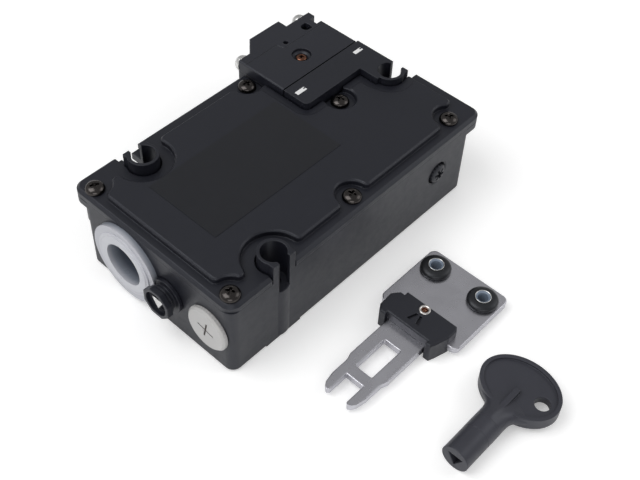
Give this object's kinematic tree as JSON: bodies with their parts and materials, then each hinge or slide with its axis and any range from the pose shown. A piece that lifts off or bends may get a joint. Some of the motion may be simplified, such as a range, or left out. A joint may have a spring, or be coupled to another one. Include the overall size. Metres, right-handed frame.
{
  "type": "tongue interlock switch",
  "caption": "Tongue-operated safety interlock switch with solenoid locking, side head with two tongue slots, triangular manual release, and its loose tongue actuator and key.",
  "frame": {"origin": "in the mounting plane, halfway between the two mounting holes at the cable entry end", "axes": "+X from the cable entry end to the actuating head, +Y to the side with the head's side entry, +Z out of the mounting plane through the lid"},
  "size_m": [0.1566, 0.2022, 0.045],
  "materials": {
    "black_plastic": "fine-textured glass-filled plastic",
    "cover_plastic": "fine-textured plastic, slightly lighter",
    "zinc_steel": "bright zinc plate",
    "dark_screw": "dark nickel plate",
    "stainless": "blanked stainless steel, tumbled",
    "brass": "turned brass",
    "black_rubber": "moulded rubber",
    "white_plastic": "natural white polyethylene",
    "grey_plastic": "grey moulded plastic",
    "key_plastic": "dark grey moulded plastic",
    "copper": "enamelled copper winding",
    "board_green": "solder-masked laminate",
    "silver": "silver-plated contacts",
    "label": "bare matt label film"
  },
  "bodies": {
    "housing": {"base_housing": "black_plastic", "lid": "black_plastic", "lid_gasket": "black_rubber", "lid_screws": "dark_screw", "head_housing": "black_plastic", "head_cover": "cover_plastic", "head_cover_screw": "brass", "head_screws": "zinc_steel", "plunger_spring": "zinc_steel", "solenoid_yoke": "zinc_steel", "coil_bobbin": "grey_plastic", "coil_winding": "copper", "yoke_screws": "zinc_steel", "release_collar": "black_plastic", "collar_nut": "zinc_steel", "contact_spring": "stainless", "contact_block": "grey_plastic", "fixed_contacts": "silver", "circuit_board": "board_green", "terminal_block": "grey_plastic", "terminal_screws": "zinc_steel", "cable_entry_plug": "white_plastic", "blanking_plug": "white_plastic", "side_release_screw": "black_plastic", "label_patch": "label"},
    "wheel": {"cam_wheel": "zinc_steel", "lock_disc": "zinc_steel", "contact_cam": "grey_plastic", "cam_axle": "zinc_steel"},
    "contacts": {"contact_rod": "grey_plastic", "contact_carriage": "grey_plastic", "contact_bridges": "silver"},
    "lock": {"lock_bolt": "zinc_steel", "lock_bracket": "zinc_steel", "solenoid_plunger": "stainless"},
    "spindle": {"release_spindle": "zinc_steel", "spindle_clip": "stainless"},
    "tongue": {"tongue_plate": "stainless", "rubber_bushes": "black_rubber", "bush_sleeves": "zinc_steel", "tongue_guide": "black_plastic", "guide_eyelet": "white_plastic"},
    "key": {"release_key": "key_plastic"}
  },
  "joints": [
    {"name": "wheel_turn", "type": "hinge", "parent": "housing", "child": "wheel", "pos_m": [0.0976, 0.04, 0.0232], "axis": [0, 0, 1], "range_deg": [0, 90]},
    {"name": "contacts_slide", "type": "slide", "parent": "housing", "child": "contacts", "axis": [0, 1, 0], "range_m": [0, 0.0019], "deforming": ["contact_spring"]},
    {"name": "release_turn", "type": "hinge", "parent": "housing", "child": "spindle", "pos_m": [-0.0348, -0.0076, 0.0196], "axis": [1, 0, 0], "range_deg": [0, 90]},
    {"name": "lock_slide", "type": "slide", "parent": "housing", "child": "lock", "axis": [-1, 0, 0], "range_m": [0, 0.0035], "deforming": ["plunger_spring"]},
    {"name": "tongue_lift", "type": "slide", "parent": "housing", "child": "tongue", "axis": [0, 0, 1], "range_m": [0, 0.06]},
    {"name": "key_lift", "type": "slide", "parent": "housing", "child": "key", "axis": [0, 0, 1], "range_m": [0, 0.06]}
  ],
  "couplings": [
    {"joint": "wheel_turn", "follows": "contacts_slide", "rad_per_m": 826.6},
    {"joint": "release_turn", "follows": "lock_slide", "rad_per_m": 448.7}
  ]
}
